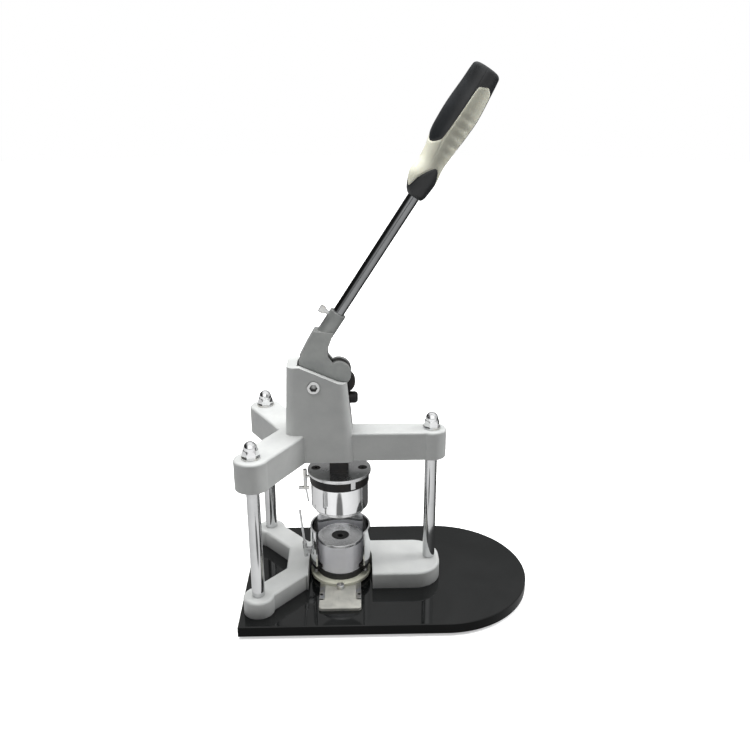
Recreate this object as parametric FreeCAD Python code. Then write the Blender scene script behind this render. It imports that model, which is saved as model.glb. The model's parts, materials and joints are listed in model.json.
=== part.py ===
"""Bench button badge maker: a lever press on three posts with a sliding lower die.

Millimetres, +Z up. The origin lies on the press axis, at the level of the table top.
The rounded end of the board points along +X and the operator stands at -Y.
"""
import FreeCAD
import Part
import math
import os

from FreeCAD import Vector

UP = Vector(0, 0, 1)
BACK = Vector(0, 1, 0)
RIGHT = Vector(1, 0, 0)

# Board and feet
FOOT_H = 2.0
FOOT_R = 10.0
BOARD_T = 11.0
BOARD_LEFT = -93.0
BOARD_R = 87.5
BOARD_END_X = 99.0
BOARD_BASE = FOOT_H
BOARD_TOP = FOOT_H + BOARD_T

# Posts, and the bolts that clamp board, base and posts together
POST_R = 6.0
POST_X_RIGHT = 88.5
POST_X_LEFT = -75.5
POST_Y_LEFT = 62.4
POSTS = {
    "right": Vector(POST_X_RIGHT, 0, 0),
    "left_front": Vector(POST_X_LEFT, -POST_Y_LEFT, 0),
    "left_rear": Vector(POST_X_LEFT, POST_Y_LEFT, 0),
}
THREAD_R = 4.0
CLEAR_R = 4.2

# Castings
BASE_T = 17.3
BASE_TOP = BOARD_TOP + BASE_T
BASE_ARM_HALF = 31.0
BASE_ARM_END = 98.8
BASE_ARM_CORNER = 26.0
BASE_RING_R = 38.0
BASE_POCKET_R = 31.4
BASE_EDGE_R = 2.6
HEAD_EDGE_R = 2.2
HEAD_BASE = 142.6
HEAD_T = 28.0
HEAD_TOP = HEAD_BASE + HEAD_T
HEAD_ARM_HALF = 12.7
HEAD_LEFT_HALF = 15.2
TOWER_TOP = 237.0
TOWER_HALF_Y = 17.0
SLOT_HALF_Y = 10.0
SLOT_FLOOR = HEAD_TOP + 1.0
SLOT_LEFT = -37.0

# Lever and crank. The crank pin runs in a slot across the top of the ram.
PIVOT = Vector(-21.8, 0, 218.2)
PIVOT_R = 5.0
CRANK = Vector(1.1, 0, 228.5)
CRANK_R = 3.0
ROLLER_R = 5.0
LOBE_R = 11.4
HUB_HALF_Y = 9.0
HUB_GAP_HALF_Y = 4.6
HUB_GAP_TOP = 246.0
ROD_R = 5.4
ROD_ANGLE = 57.1
ROD_FOOT = Vector(1.5, 0, 284.0)
ROD_DIR = Vector(math.cos(math.radians(ROD_ANGLE)), 0, math.sin(math.radians(ROD_ANGLE)))
ROD_LEFT = Vector(-ROD_DIR.z, 0, ROD_DIR.x)
ROD_SOCKET = 26.0
BOSS_R = 7.8
GRIP_START = 122.0
GRIP_LENGTH = 118.0
GRIP_BORE_DEPTH = 91.0
GRIP_SKIN = 2.6

# Ram
RAM_HALF = 9.0
RAM_GAP = 0.1
RAM_TOP = 190.0
YOKE_HALF_Y = 4.2
YOKE_HEAD_R = 11.2
STOP_SCREW_Z = 202.4
STOP_HEAD_R = 5.6
STOP_HEAD_H = 10.6

# Upper die
CUP_BASE = 92.0
CUP_R = 27.8
CUP_BORE_R = 24.7
CUP_ROOF = 100.0
PUNCH_BASE = 87.0
PUNCH_R = 24.5
BOLT_SEAT = PUNCH_BASE + 8.0
COLLAR_BASE = 117.3
COLLAR_R = 28.7
COLLAR_BORE_R = 25.5
FLANGE_BASE = 126.8
FLANGE_TOP = 129.7
FLANGE_R = 30.6
FLANGE_SCREW_X = 22.5
GROOVE_X = -13.3
GROOVE_Y = -22.9
SELECTOR_X = -33.0
SELECTOR_Y = -3.0
SELECTOR_BAR_Z = 110.0

# Lower die and its slide
RAIL_HALF = 20.0
RAIL_BACK = 30.0
RAIL_FRONT = -48.6
RAIL_TOP = 14.9
RAIL_SCREW_X = 18.1
TONGUE_HALF = 14.9
TONGUE_FOOT_HALF = 16.2
TONGUE_FOOT_TOP = 14.0
SEAT_BASE = 15.0
SEAT_TOP = 18.3
SEAT_R = 29.9
LOCK_SCREW_Y = -31.5
LOCK_SCREW_R = 3.9
BUMPER_TOP = 24.5
BUMPER_R = 23.3
PEDESTAL_R = 22.3
PEDESTAL_FOOT_R = 20.0
PEDESTAL_TOP = 53.0
CAP_TOP = 56.0
PLUG_R = 8.7
RING_BASE = 26.6
RING_TOP = 30.0
SKIRT_R = 29.7
SKIRT_BORE_R = 28.05
SKIRT_TOP = 68.0
WINDOW_HALF_ANGLE = 53.0
SPRING_CIRCLE_R = 26.0
SPRING_ANGLES = (90, 200, 340)
SLIDE_FRONT = -66.0
PULL_DEPTH = 13.5
PULL_TOP = 16.5


def cyl(r, z0, z1, x=0.0, y=0.0):
    """Upright cylinder between two levels."""
    return Part.makeCylinder(r, z1 - z0, Vector(x, y, z0), UP)


def tube(r_out, r_in, z0, z1, x=0.0, y=0.0):
    return cyl(r_out, z0, z1, x, y).cut(cyl(r_in, z0 - 1, z1 + 1, x, y))


def box(x0, x1, y0, y1, z0, z1):
    return Part.makeBox(x1 - x0, y1 - y0, z1 - z0, Vector(x0, y0, z0))


def bar(r, start, end):
    """Round bar between two points."""
    axis = end.sub(start)
    return Part.makeCylinder(r, axis.Length, start, axis)


def prism(points, z0, z1):
    """Upright prism on a closed outline of (x, y) corners."""
    corners = [Vector(x, y, z0) for x, y in points]
    face = Part.Face(Part.makePolygon(corners + corners[:1]))
    return face.extrude(Vector(0, 0, z1 - z0))


def side_prism(points, half_y):
    """Prism across the machine on a closed outline of (x, z) corners."""
    corners = [Vector(x, -half_y, z) for x, z in points]
    face = Part.Face(Part.makePolygon(corners + corners[:1]))
    return face.extrude(Vector(0, 2 * half_y, 0))


def join(solids):
    """One solid from several that touch or overlap."""
    return solids[0].fuse(solids[1:]).removeSplitter()


def edges_at(solid, z):
    """Edges that lie wholly in one level plane."""
    def flat(edge):
        return abs(edge.BoundBox.ZMin - z) < 1e-4 and abs(edge.BoundBox.ZMax - z) < 1e-4
    return [edge for edge in solid.Edges if flat(edge)]


def hexagon(across_flats, base, axis, height, turn=0.0):
    """Hexagonal prism along any axis."""
    radius = across_flats / math.sqrt(3)
    corners = []
    for i in range(6):
        a = math.radians(60 * i + turn)
        corners.append(Vector(radius * math.cos(a), radius * math.sin(a), 0))
    face = Part.Face(Part.makePolygon(corners + corners[:1]))
    solid = face.extrude(Vector(0, 0, height))
    solid.Placement = FreeCAD.Placement(base, FreeCAD.Rotation(UP, axis))
    return solid


def socket_screw(head_r, head_h, shank_r, shank_l, seat, axis, key):
    """Cap screw. Its head stands on the seat and points along the axis."""
    head = Part.makeCylinder(head_r, head_h, seat, axis)
    head = head.makeChamfer(0.4, [e for e in head.Edges if e.Closed])
    shank = Part.makeCylinder(shank_r, shank_l + 0.5, seat.add(axis * 0.5), axis * -1)
    key_depth = head_h * 0.55
    mouth = hexagon(key, seat.add(axis * (head_h - key_depth)), axis, key_depth + 1)
    return join([head, shank]).cut(mouth)


def rounded_top(solid, z, radius):
    return solid.makeFillet(radius, edges_at(solid, z))


# ---------------------------------------------------------------- board and posts

def base_board():
    slab = box(BOARD_LEFT, BOARD_END_X, -BOARD_R, BOARD_R, BOARD_BASE, BOARD_TOP)
    board = join([slab, cyl(BOARD_R, BOARD_BASE, BOARD_TOP, BOARD_END_X)])
    board = board.makeChamfer(0.8, edges_at(board, BOARD_TOP) + edges_at(board, BOARD_BASE))
    for post in POSTS.values():
        board = board.cut(cyl(CLEAR_R, BOARD_BASE - 1, BOARD_TOP + 1, post.x, post.y))
        board = board.cut(cyl(7.2, BOARD_BASE - 1, BOARD_BASE + 6.5, post.x, post.y))
    for x, y in RAIL_SCREWS:
        board = board.cut(cyl(1.5, BOARD_TOP - 8, BOARD_TOP + 1, x, y))
    return board


def rubber_feet():
    """Four pads near the board's edges and one under the die, where the press bears down."""
    places = [(0, 0), (-78, -72), (-78, 72), (135, -50), (135, 50)]
    feet = []
    for x, y in places:
        foot = cyl(FOOT_R, 0, FOOT_H, x, y)
        feet.append(foot.makeFillet(0.8, edges_at(foot, 0)))
    return Part.makeCompound(feet)


def post_bolts():
    bolts = []
    for post in POSTS.values():
        seat = Vector(post.x, post.y, BOARD_BASE + 6.5)
        bolts.append(socket_screw(6.5, 5.5, THREAD_R, 38.0, seat, UP * -1, 6.0))
    return Part.makeCompound(bolts)


def post(place):
    """Plated post: tapped at the foot, with a threaded stud on top."""
    shaft = cyl(POST_R, BASE_TOP, HEAD_BASE, place.x, place.y)
    shaft = shaft.makeChamfer(0.5, edges_at(shaft, BASE_TOP))
    stud = cyl(THREAD_R, HEAD_BASE - 1, HEAD_TOP + 11, place.x, place.y)
    tapped = cyl(THREAD_R, BASE_TOP - 1, BASE_TOP + 18, place.x, place.y)
    return join([shaft, stud]).cut(tapped)


def post_washers():
    rings = []
    for place in POSTS.values():
        ring = tube(8.3, CLEAR_R, HEAD_TOP, HEAD_TOP + 1.6, place.x, place.y)
        rings.append(ring)
    return Part.makeCompound(rings)


def acorn_nuts():
    nuts = []
    z = HEAD_TOP + 1.6
    for place in POSTS.values():
        nut = hexagon(13.0, Vector(place.x, place.y, z), UP, 6.5, 12)
        limit = Part.makeCone(8.6, 6.4, 7.6, Vector(place.x, place.y, z), UP)
        nut = nut.common(limit)
        neck = cyl(6.1, z + 6, z + 8, place.x, place.y)
        dome = Part.makeSphere(6.1, Vector(place.x, place.y, z + 8))
        dome = dome.common(cyl(7, z + 8, z + 20, place.x, place.y))
        bore = cyl(THREAD_R, z - 1, z + 10.5, place.x, place.y)
        nuts.append(join([nut, neck, dome]).cut(bore))
    return Part.makeCompound(nuts)


# ---------------------------------------------------------------- castings

def arm(start, end, half_width, z0, z1):
    """Straight casting arm between two points, square at both ends."""
    along = end.sub(start)
    along.normalize()
    across = Vector(-along.y, along.x, 0) * half_width
    corners = [start.add(across), end.add(across), end.sub(across), start.sub(across)]
    return prism([(c.x, c.y) for c in corners], z0, z1)


def base_casting():
    z0, z1 = BOARD_TOP, BASE_TOP
    end_x = BASE_ARM_END - BASE_ARM_CORNER
    corner_y = BASE_ARM_HALF - BASE_ARM_CORNER
    right_arm = join([
        box(-20, end_x, -BASE_ARM_HALF, BASE_ARM_HALF, z0, z1),
        box(0, BASE_ARM_END, -corner_y, corner_y, z0, z1),
        cyl(BASE_ARM_CORNER, z0, z1, end_x, corner_y),
        cyl(BASE_ARM_CORNER, z0, z1, end_x, -corner_y),
    ])
    web = prism([(-53, 17.5), (-32.5, 31), (2, 31), (2, -31), (-32.5, -31), (-53, -17.5)], z0, z1)
    parts = [right_arm, web, cyl(BASE_RING_R, z0, z1)]
    for side in (-1, 1):
        foot = Vector(POST_X_LEFT - 0.6, side * (POST_Y_LEFT - 0.5), 0)
        root = Vector(-24.0, side * 2.5, 0)
        parts.append(arm(foot, root, 11.5, z0, z1))
        parts.append(cyl(14.3, z0, z1, POST_X_LEFT, side * POST_Y_LEFT))
    body = join([rounded_top(part, z1, BASE_EDGE_R) for part in parts])
    body = body.cut(cyl(BASE_POCKET_R, z0 - 1, z1 + 1))
    body = body.cut(box(-BASE_POCKET_R, BASE_POCKET_R, -60, 0, z0 - 1, z1 + 1))
    tunnel = RAIL_HALF + 0.3
    body = body.cut(box(-tunnel, tunnel, 0, RAIL_BACK + 0.5, z0 - 1, RAIL_TOP + 0.4))
    for place in POSTS.values():
        body = body.cut(cyl(CLEAR_R, z0 - 1, z1 + 1, place.x, place.y))
    return body


def tower_section(z, left, right, left_r, right_r):
    """Rounded rectangle of the tower at one level."""
    y = TOWER_HALF_Y
    s = math.sqrt(0.5)

    def corner(cx, cy, radius, dx, dy):
        middle = Vector(cx + dx * radius * s, cy + dy * radius * s, z)
        first = Vector(cx + dx * radius, cy, z)
        last = Vector(cx, cy + dy * radius, z)
        return Part.Arc(first, middle, last).toShape()

    def side(x0, y0, x1, y1):
        return Part.makeLine(Vector(x0, y0, z), Vector(x1, y1, z))

    edges = [
        corner(right - right_r, y - right_r, right_r, 1, 1),
        side(right - right_r, y, left + left_r, y),
        corner(left + left_r, y - left_r, left_r, -1, 1),
        side(left, y - left_r, left, left_r - y),
        corner(left + left_r, left_r - y, left_r, -1, -1),
        side(left + left_r, -y, right - right_r, -y),
        corner(right - right_r, right_r - y, right_r, 1, -1),
        side(right, right_r - y, right, y - right_r),
    ]
    return Part.Wire(Part.__sortEdges__(edges))


def tower():
    """Tapered tower with a sloping shoulder, slotted for the lever."""
    foot = tower_section(HEAD_BASE, -50.2, 17.0, 8.5, 11.5)
    crown = tower_section(TOWER_TOP, -46.4, 7.0, 7.5, 7.5)
    body = Part.makeLoft([foot, crown], True, True)
    slope = side_prism([(-34.5, TOWER_TOP), (-34.0, TOWER_TOP + 20), (40, TOWER_TOP + 20),
                        (40, 219.6), (5.0, 220.8), (0.0, 221.8)], 40)
    return body.cut(slope)


def head_casting():
    z0, z1 = HEAD_BASE, HEAD_TOP
    right = POSTS["right"]
    parts = [
        box(-40, right.x, -HEAD_ARM_HALF, HEAD_ARM_HALF, z0, z1),
        cyl(14.0, z0, z1, right.x, 0),
    ]
    for side in (-1, 1):
        foot = Vector(POST_X_LEFT, side * POST_Y_LEFT, 0)
        parts.append(arm(foot, Vector(-39.5, 0, 0), HEAD_LEFT_HALF, z0, z1))
        parts.append(cyl(15.5, z0, z1, foot.x, foot.y))
    arms = [rounded_top(part, z1, HEAD_EDGE_R) for part in parts]
    body = join(arms + [tower()])
    body = body.cut(box(SLOT_LEFT, 60, -SLOT_HALF_Y, SLOT_HALF_Y, SLOT_FLOOR, TOWER_TOP + 5))
    guide = RAM_HALF + RAM_GAP
    body = body.cut(box(-guide, guide, -guide, guide, z0 - 1, z1 + 5))
    body = body.cut(bar(PIVOT_R, PIVOT.add(BACK * -30), PIVOT.add(BACK * 30)))
    for place in POSTS.values():
        body = body.cut(cyl(CLEAR_R, z0 - 1, z1 + 1, place.x, place.y))
    return body


# ---------------------------------------------------------------- lever

def pivot_pin():
    """Headed pin through both tower walls, with a hexagon socket in its head."""
    face = PIVOT.add(BACK * -TOWER_HALF_Y)
    head = Part.makeCylinder(6.0, 1.8, face, BACK * -1)
    head = head.makeChamfer(0.5, edges_near(head, "YMin"))
    shaft = bar(PIVOT_R, face.add(BACK * -0.5), PIVOT.add(BACK * (TOWER_HALF_Y + 3.4)))
    groove_y = TOWER_HALF_Y + 0.9
    groove = bar(6, PIVOT.add(BACK * groove_y), PIVOT.add(BACK * (groove_y + 1.2)))
    groove = groove.cut(bar(4.2, PIVOT.add(BACK * groove_y), PIVOT.add(BACK * (groove_y + 1.2))))
    mouth = hexagon(6.5, face.add(BACK * -2.5), BACK, 4.5)
    return join([head, shaft]).cut(groove).cut(mouth)


def edges_near(solid, side):
    """Edges that touch one side of the solid's box along the machine's depth."""
    limit = getattr(solid.BoundBox, side)
    return [e for e in solid.Edges if abs(getattr(e.BoundBox, side) - limit) < 1e-4
            and e.BoundBox.YLength < 1e-4]


def pivot_circlip():
    start = PIVOT.add(BACK * (TOWER_HALF_Y + 1.0))
    ring = Part.makeCylinder(7.4, 1.0, start, BACK).cut(Part.makeCylinder(4.25, 1.0, start, BACK))
    mouth = box(PIVOT.x - 2.6, PIVOT.x + 2.6, 0, 40, PIVOT.z - 12, PIVOT.z)
    return ring.cut(mouth)


def hub_outline():
    """Side view of the hub: two flanks, a nose and the crank lobe."""
    flanks = side_prism([(-21.8, 206.4), (-31.5, 214.0), (-34.6, 236.0), (-34.9, 242.5),
                         (-28.0, 256.0), (-20.6, 268.6), (-3.0, 266.8), (-8.9, 251.0),
                         (-8.3, 243.5), (-4.5, 238.5), (-2.0, 218.0)], HUB_HALF_Y)
    boss = bar(11.8, PIVOT.add(BACK * -HUB_HALF_Y), PIVOT.add(BACK * HUB_HALF_Y))
    lobe = bar(LOBE_R, CRANK.add(BACK * -HUB_HALF_Y), CRANK.add(BACK * HUB_HALF_Y))
    return join([flanks, boss, lobe])


def lever_hub():
    """Cast hub: two cheeks around the ram yoke, and a socket for the rod."""
    socket_end = ROD_FOOT
    socket_foot = ROD_FOOT.sub(ROD_DIR * 30)
    socket = bar(BOSS_R, socket_foot, socket_end)
    body = join([hub_outline(), socket])
    gap = box(-60, 40, -HUB_GAP_HALF_Y, HUB_GAP_HALF_Y, 180, HUB_GAP_TOP)
    body = body.cut(gap)
    body = body.cut(bar(ROD_R, ROD_FOOT.sub(ROD_DIR * ROD_SOCKET), ROD_FOOT.add(ROD_DIR * 5)))
    body = body.cut(bar(7.0, PIVOT.add(BACK * -20), PIVOT.add(BACK * 20)))
    body = body.cut(crank_pin())
    screw_axis = ROD_FOOT.sub(ROD_DIR * 5)
    return body.cut(bar(2.0, screw_axis, screw_axis.add(ROD_LEFT * 20)))


def hub_bushes():
    """Two bronze bushes pressed in the cheeks; they turn on the pivot pin."""
    bushes = []
    for side in (-1, 1):
        inner = PIVOT.add(BACK * (side * (HUB_GAP_HALF_Y + 0.2)))
        outer = PIVOT.add(BACK * (side * (HUB_HALF_Y + 0.7)))
        bushes.append(bar(7.0, inner, outer).cut(bar(PIVOT_R + 0.06, inner, outer)))
    return Part.makeCompound(bushes)


def crank_pin():
    """Pin across the gap, set in blind holes in the two cheeks."""
    reach = HUB_HALF_Y - 2.0
    return bar(CRANK_R, CRANK.add(BACK * -reach), CRANK.add(BACK * reach))


def crank_roller():
    y = YOKE_HALF_Y
    start = CRANK.add(BACK * -y)
    end = CRANK.add(BACK * y)
    return bar(ROLLER_R, start, end).cut(bar(CRANK_R + 0.05, start, end))


def lever_rod():
    start = ROD_FOOT.sub(ROD_DIR * ROD_SOCKET)
    end = ROD_FOOT.add(ROD_DIR * (GRIP_START + GRIP_BORE_DEPTH))
    rod = bar(ROD_R, start, end)
    flat_foot = ROD_FOOT.sub(ROD_DIR * 5)
    dimple = bar(2.05, flat_foot.add(ROD_LEFT * 4.4), flat_foot.add(ROD_LEFT * 8))
    return rod.cut(dimple)


def lever_thumbscrew():
    """Clamp screw that keeps the rod in its socket."""
    axis_foot = ROD_FOOT.sub(ROD_DIR * 5)
    stem = bar(1.95, axis_foot.add(ROD_LEFT * 4.6), axis_foot.add(ROD_LEFT * 12.2))
    neck = bar(2.6, axis_foot.add(ROD_LEFT * 10.2), axis_foot.add(ROD_LEFT * 12.2))
    head = bar(3.7, axis_foot.add(ROD_LEFT * 12.0), axis_foot.add(ROD_LEFT * 16.5))
    screw = join([stem, neck, head])
    for i in range(10):
        turn = FreeCAD.Rotation(ROD_LEFT, 36 * i)
        radial = turn.multVec(BACK)
        foot = axis_foot.add(ROD_LEFT * 11.5).add(radial * 4.0)
        screw = screw.cut(bar(0.6, foot, foot.add(ROD_LEFT * 6)))
    return screw


GRIP_STATIONS = [(0.0, 7.2, -0.3), (7.0, 11.6, 1.2), (18.0, 13.6, 2.8), (34.0, 11.2, 3.0),
                 (46.0, 12.8, 3.5), (64.0, 15.6, 4.4), (85.0, 15.6, 4.8), (105.0, 13.8, 5.6),
                 (GRIP_LENGTH, 12.4, 6.2)]


def grip_body(skin):
    """Waisted grip about the rod: each station is a distance, a radius and a set-over."""
    wires = []
    for along, radius, over in GRIP_STATIONS:
        centre = ROD_FOOT.add(ROD_DIR * (GRIP_START + along)).add(ROD_LEFT * over)
        circle = Part.Circle(centre, ROD_DIR, radius - skin)
        wires.append(Part.Wire(circle.toShape()))
    return Part.makeLoft(wires, True, False)


def grip_point(along, over):
    return ROD_FOOT.add(ROD_DIR * (GRIP_START + along)).add(ROD_LEFT * over)


def slanted_zone(corners):
    """Space across the grip on an outline of (distance, set-over) corners."""
    points = [grip_point(along, over) for along, over in corners]
    face = Part.Face(Part.makePolygon(points + points[:1]))
    face.translate(BACK * -30)
    return face.extrude(BACK * 60)


def grip_parts():
    """Core, dark upper skin and dark lower skin; the skins are cut off on slants."""
    bore = bar(ROD_R, grip_point(-5, 0), grip_point(GRIP_BORE_DEPTH, 0))
    whole = grip_body(0).cut(bore)
    shell = grip_body(0).cut(grip_body(GRIP_SKIN)).cut(bore)
    end = GRIP_LENGTH + 5
    upper = shell.common(slanted_zone([(end, -30), (102, -30), (52, 30), (end, 30)]))
    lower = shell.common(slanted_zone([(-5, -30), (32, -30), (10, 30), (-5, 30)]))
    core = whole.cut(upper).cut(lower)
    return largest(core), largest(upper), largest(lower)


def largest(shape):
    return max(shape.Solids, key=lambda solid: solid.Volume)


# ---------------------------------------------------------------- ram and upper die

def ram():
    body = box(-RAM_HALF, RAM_HALF, -RAM_HALF, RAM_HALF, FLANGE_TOP, RAM_TOP)
    upright = [e for e in body.Edges if e.BoundBox.ZLength > 10]
    body = body.makeChamfer(0.8, upright)
    body = body.cut(cyl(THREAD_R, FLANGE_TOP - 1, FLANGE_TOP + 22))
    body = body.cut(box(-20, 20, -YOKE_HALF_Y, YOKE_HALF_Y, RAM_TOP - 12, RAM_TOP + 1))
    return body.cut(yoke_cross_pin())


def ram_yoke():
    """Flat yoke in the ram's fork. The crank roller runs in its level slot."""
    y0 = BACK * -YOKE_HALF_Y
    y1 = BACK * YOKE_HALF_Y
    head_centre = Vector(CRANK.x, 0, CRANK.z - 0.22)
    heel = Vector(5.8, 0, 218.8)
    neck = box(-RAM_HALF + 1, RAM_HALF - 1, -YOKE_HALF_Y, YOKE_HALF_Y, RAM_TOP - 12, 222)
    body = join([
        bar(YOKE_HEAD_R, head_centre.add(y0), head_centre.add(y1)),
        bar(10.4, heel.add(y0), heel.add(y1)),
        neck,
    ])
    slot_r = ROLLER_R + 0.36
    left = Vector(-1.45 - 0.3, 0, head_centre.z)
    right = Vector(3.3 + 0.3, 0, head_centre.z)
    slot = join([
        bar(slot_r, left.sub(BACK * 10), left.add(BACK * 10)),
        bar(slot_r, right.sub(BACK * 10), right.add(BACK * 10)),
        box(left.x, right.x, -10, 10, left.z - slot_r, left.z + slot_r),
    ])
    body = body.cut(slot)
    body = body.cut(yoke_cross_pin())
    return body.cut(bar(3.0, Vector(-4, 0, STOP_SCREW_Z), Vector(20, 0, STOP_SCREW_Z)))


def yoke_cross_pin():
    return bar(2.5, Vector(0, -RAM_HALF, RAM_TOP - 6), Vector(0, RAM_HALF, RAM_TOP - 6))


def stop_screw():
    """Dark domed screw in the yoke's side; its head lands on the head casting."""
    seat = Vector(RAM_HALF - 1, 0, STOP_SCREW_Z)
    head = Part.makeCylinder(STOP_HEAD_R, STOP_HEAD_H, seat, RIGHT)
    rim = [e for e in head.Edges if e.Closed and e.BoundBox.XMin > seat.x + STOP_HEAD_H - 1]
    head = head.makeFillet(3.2, rim)
    return join([head, bar(3.0, seat.sub(RIGHT * 10), seat.add(RIGHT))])


def upper_flange():
    body = cyl(FLANGE_R, FLANGE_BASE, FLANGE_TOP)
    body = body.makeFillet(0.9, edges_at(body, FLANGE_TOP))
    body = body.cut(cyl(CLEAR_R, FLANGE_BASE - 1, FLANGE_TOP + 1))
    for side in (-1, 1):
        x = side * FLANGE_SCREW_X
        body = body.cut(cyl(2.2, FLANGE_BASE - 1, FLANGE_TOP + 1, x))
        body = body.cut(Part.makeCone(2.2, 4.6, 2.4, Vector(x, 0, FLANGE_TOP - 2.4), UP))
    return body


def flange_screws():
    screws = []
    for side in (-1, 1):
        x = side * FLANGE_SCREW_X
        head = Part.makeCone(2.0, 4.4, 2.4, Vector(x, 0, FLANGE_TOP - 2.4), UP)
        shank = cyl(2.0, COLLAR_BASE - 1, FLANGE_TOP - 2.0, x)
        mouth = hexagon(2.5, Vector(x, 0, FLANGE_TOP - 1.6), UP, 3)
        screws.append(join([head, shank]).cut(mouth))
    return Part.makeCompound(screws)


def collar_stop():
    """Curved steel tab under the flange's rim, in front of the collar."""
    ring = tube(FLANGE_R - 0.1, COLLAR_R + 0.15, FLANGE_BASE - 7, FLANGE_BASE)
    return ring.common(box(11.3, 15.5, -40, 0, FLANGE_BASE - 8, FLANGE_BASE + 1))


def selector_collar():
    body = tube(COLLAR_R, COLLAR_BORE_R, COLLAR_BASE + 0.1, FLANGE_BASE - 0.1)
    level = (COLLAR_BASE + FLANGE_BASE) / 2
    inner = Vector(-COLLAR_BORE_R + 1, SELECTOR_Y, level)
    return body.cut(bar(1.5, inner, Vector(-50, SELECTOR_Y, level)))


def selector_pin():
    """Bent handle screwed in the collar's left side, with a cross bar and a feeler wire."""
    level = (COLLAR_BASE + FLANGE_BASE) / 2

    def at(x, z):
        return Vector(x, SELECTOR_Y, z)

    return join([
        bar(1.5, at(-COLLAR_BORE_R - 0.8, level), at(SELECTOR_X, level)),
        bar(1.9, at(SELECTOR_X, SELECTOR_BAR_Z - 1.5), at(SELECTOR_X, FLANGE_TOP)),
        bar(1.6, at(SELECTOR_X - 6.5, SELECTOR_BAR_Z), at(SELECTOR_X + 3.6, SELECTOR_BAR_Z)),
        bar(0.9, at(SELECTOR_X + 0.5, SELECTOR_BAR_Z), at(SELECTOR_X + 2.6, 95)),
    ])


def upper_cup():
    """Plated cup with a solid crown; the collar turns round the crown."""
    wall = cyl(CUP_R, CUP_BASE, COLLAR_BASE)
    wall = wall.makeFillet(0.6, edges_at(wall, CUP_BASE) + edges_at(wall, COLLAR_BASE))
    crown = cyl(COLLAR_BORE_R - 0.08, COLLAR_BASE - 1, FLANGE_BASE)
    body = join([wall, crown])
    body = body.cut(cyl(CUP_BORE_R, CUP_BASE - 1, CUP_ROOF))
    body = body.cut(cyl(8.0, CUP_ROOF - 1, 112))
    body = body.cut(cyl(CLEAR_R, CUP_ROOF - 1, FLANGE_BASE + 1))
    for side in (-1, 1):
        body = body.cut(cyl(2.0, COLLAR_BASE - 6, FLANGE_BASE + 1, side * FLANGE_SCREW_X))
    groove = box(GROOVE_X - 2.3, GROOVE_X + 2.3, -40, GROOVE_Y, CUP_BASE + 6.3, COLLAR_BASE + 1)
    return body.cut(groove)


def cup_gib():
    """Narrow steel strip set in the cup's groove."""
    strip = box(GROOVE_X - 1.4, GROOVE_X + 1.4, -40, GROOVE_Y, CUP_BASE + 6.5, COLLAR_BASE - 0.2)
    return strip.common(cyl(CUP_R - 0.3, CUP_BASE, COLLAR_BASE))


def upper_punch():
    """Pressing disc inside the cup; it stands a little below the cup's rim."""
    disc = cyl(PUNCH_R, PUNCH_BASE, CUP_ROOF - 1.2)
    disc = disc.makeFillet(1.2, edges_at(disc, PUNCH_BASE))
    stem = cyl(7.9, CUP_ROOF - 2, 112)
    body = join([disc, stem])
    body = body.cut(cyl(CLEAR_R, PUNCH_BASE - 1, 120))
    return body.cut(cyl(7.0, PUNCH_BASE - 1, BOLT_SEAT))


def die_bolt():
    return socket_screw(6.5, 6.5, THREAD_R, 55.0, Vector(0, 0, BOLT_SEAT), UP * -1, 6.0)


# ---------------------------------------------------------------- slide and lower die

RAIL_SCREWS = [(-RAIL_SCREW_X, 22.0), (RAIL_SCREW_X, 22.0),
               (-RAIL_SCREW_X, -42.0), (RAIL_SCREW_X, -42.0)]


def slide_rails():
    """Two low strips on the board; each holds down one edge of the tongue."""
    strips = box(-RAIL_HALF, RAIL_HALF, RAIL_FRONT, RAIL_BACK, BOARD_TOP, RAIL_TOP)
    lip = TONGUE_HALF + 0.2
    foot = TONGUE_FOOT_HALF + 0.2
    strips = strips.cut(box(-lip, lip, -60, 60, BOARD_TOP - 1, RAIL_TOP + 1))
    strips = strips.cut(box(-foot, foot, -60, 60, BOARD_TOP - 1, TONGUE_FOOT_TOP + 0.1))
    for x, y in RAIL_SCREWS:
        strips = strips.cut(cyl(1.3, BOARD_TOP - 1, RAIL_TOP + 1, x, y))
        strips = strips.cut(cyl(1.7, RAIL_TOP - 0.9, RAIL_TOP + 1, x, y))
    return Part.makeCompound(strips.Solids)


def rail_screws():
    screws = []
    for x, y in RAIL_SCREWS:
        head = cyl(1.65, RAIL_TOP - 0.9, RAIL_TOP - 0.05, x, y)
        shank = cyl(1.25, BOARD_TOP - 7, RAIL_TOP - 0.6, x, y)
        mouth = box(x - 1.4, x + 1.4, y - 0.25, y + 0.25, RAIL_TOP - 0.5, RAIL_TOP + 1)
        screws.append(join([head, shank]).cut(mouth))
    return Part.makeCompound(screws)


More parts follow.
